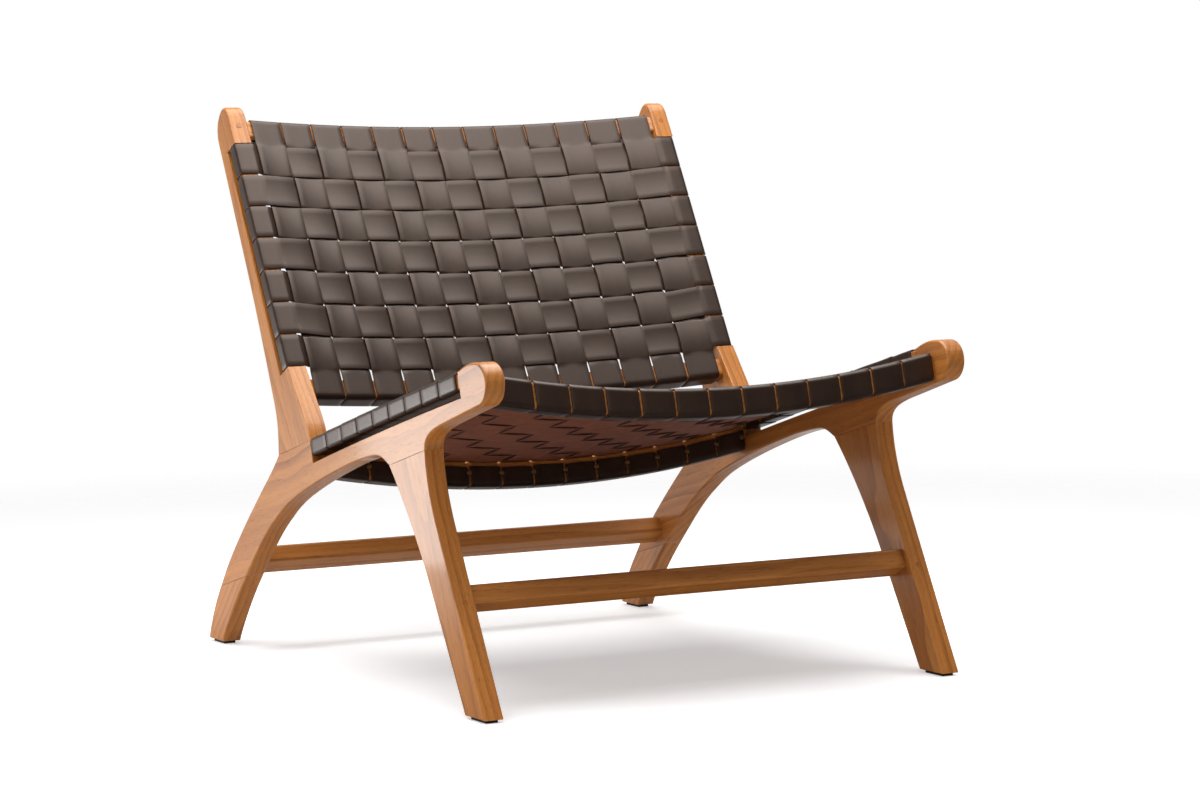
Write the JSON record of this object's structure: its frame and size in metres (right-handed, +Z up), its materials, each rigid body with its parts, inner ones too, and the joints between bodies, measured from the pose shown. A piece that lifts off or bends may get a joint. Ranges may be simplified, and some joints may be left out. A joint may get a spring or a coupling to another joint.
{
  "type": "woven leather lounge chair",
  "caption": "Low lounge chair with a solid timber frame and a dished seat and back woven from flat leather straps wrapped round the frame.",
  "frame": {"origin": "on the floor, under the middle of the chair's bounding box", "axes": "+Z up; +Y from the front of the seat towards the back; +X across, to the right as seen from the front"},
  "size_m": [0.66, 0.8136, 0.7092],
  "materials": {
    "timber": "oiled satin hardwood",
    "strap_leather": "dark brown grain side, semi-matte, with a red-brown flesh side",
    "foot_glide": "matte black"
  },
  "bodies": {
    "root": {"back_cross_strap_1": "strap_leather", "back_cross_strap_2": "strap_leather", "back_cross_strap_3": "strap_leather", "back_cross_strap_4": "strap_leather", "back_cross_strap_5": "strap_leather", "back_cross_strap_6": "strap_leather", "back_cross_strap_7": "strap_leather", "back_lower_rail": "timber", "back_post_left": "timber", "back_post_right": "timber", "back_top_rail": "timber", "back_upright_strap_01": "strap_leather", "back_upright_strap_02": "strap_leather", "back_upright_strap_03": "strap_leather", "back_upright_strap_04": "strap_leather", "back_upright_strap_05": "strap_leather", "back_upright_strap_06": "strap_leather", "back_upright_strap_07": "strap_leather", "back_upright_strap_08": "strap_leather", "back_upright_strap_09": "strap_leather", "back_upright_strap_10": "strap_leather", "back_upright_strap_11": "strap_leather", "back_upright_strap_12": "strap_leather", "back_upright_strap_13": "strap_leather", "foot_glide_front_left": "foot_glide", "foot_glide_front_right": "foot_glide", "foot_glide_rear_left": "foot_glide", "foot_glide_rear_right": "foot_glide", "front_leg_left": "timber", "front_leg_right": "timber", "front_stretcher": "timber", "rear_leg_left": "timber", "rear_leg_right": "timber", "rear_stretcher": "timber", "seat_cross_strap_1": "strap_leather", "seat_cross_strap_2": "strap_leather", "seat_cross_strap_3": "strap_leather", "seat_cross_strap_4": "strap_leather", "seat_cross_strap_5": "strap_leather", "seat_cross_strap_6": "strap_leather", "seat_cross_strap_7": "strap_leather", "seat_cross_strap_8": "strap_leather", "seat_cross_strap_9": "strap_leather", "seat_front_rail": "timber", "seat_long_strap_01": "strap_leather", "seat_long_strap_02": "strap_leather", "seat_long_strap_03": "strap_leather", "seat_long_strap_04": "strap_leather", "seat_long_strap_05": "strap_leather", "seat_long_strap_06": "strap_leather", "seat_long_strap_07": "strap_leather", "seat_long_strap_08": "strap_leather", "seat_long_strap_09": "strap_leather", "seat_long_strap_10": "strap_leather", "seat_long_strap_11": "strap_leather", "seat_long_strap_12": "strap_leather", "seat_long_strap_13": "strap_leather", "seat_rear_rail": "timber", "side_rail_left": "timber", "side_rail_right": "timber"}
  },
  "joints": []
}
